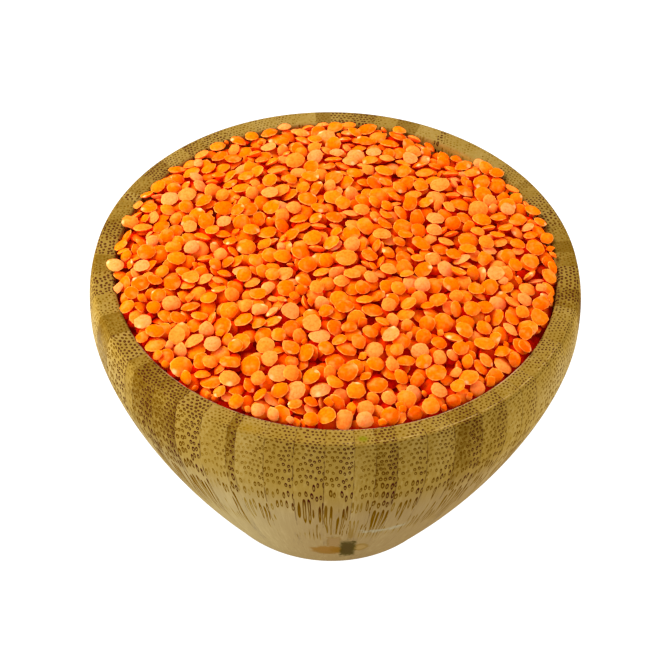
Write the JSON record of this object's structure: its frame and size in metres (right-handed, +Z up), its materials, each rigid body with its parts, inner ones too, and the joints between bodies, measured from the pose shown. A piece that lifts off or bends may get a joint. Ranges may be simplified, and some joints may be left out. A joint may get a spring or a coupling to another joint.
{
  "type": "bowl of dry lentils",
  "caption": "Round thick-walled bowl turned from glued upright bamboo staves, on a narrow flat foot, heaped in a shallow dome with dry husked red lentils",
  "frame": {"origin": "Centre of the bowl's flat foot, on the surface it stands on", "axes": "+Z up through the heap, along the bowl's axis; +X to the right and -Y towards the viewer of the front"},
  "size_m": [0.12, 0.12, 0.0835],
  "materials": {
    "bamboo": "satin varnished laminated bamboo, olive tan with small dark fibre rings",
    "lentil": "dry matt seed surface, orange, from pale peach to deep orange"
  },
  "bodies": {
    "root": {"bowl": "bamboo", "lentils": "lentil"}
  },
  "joints": []
}
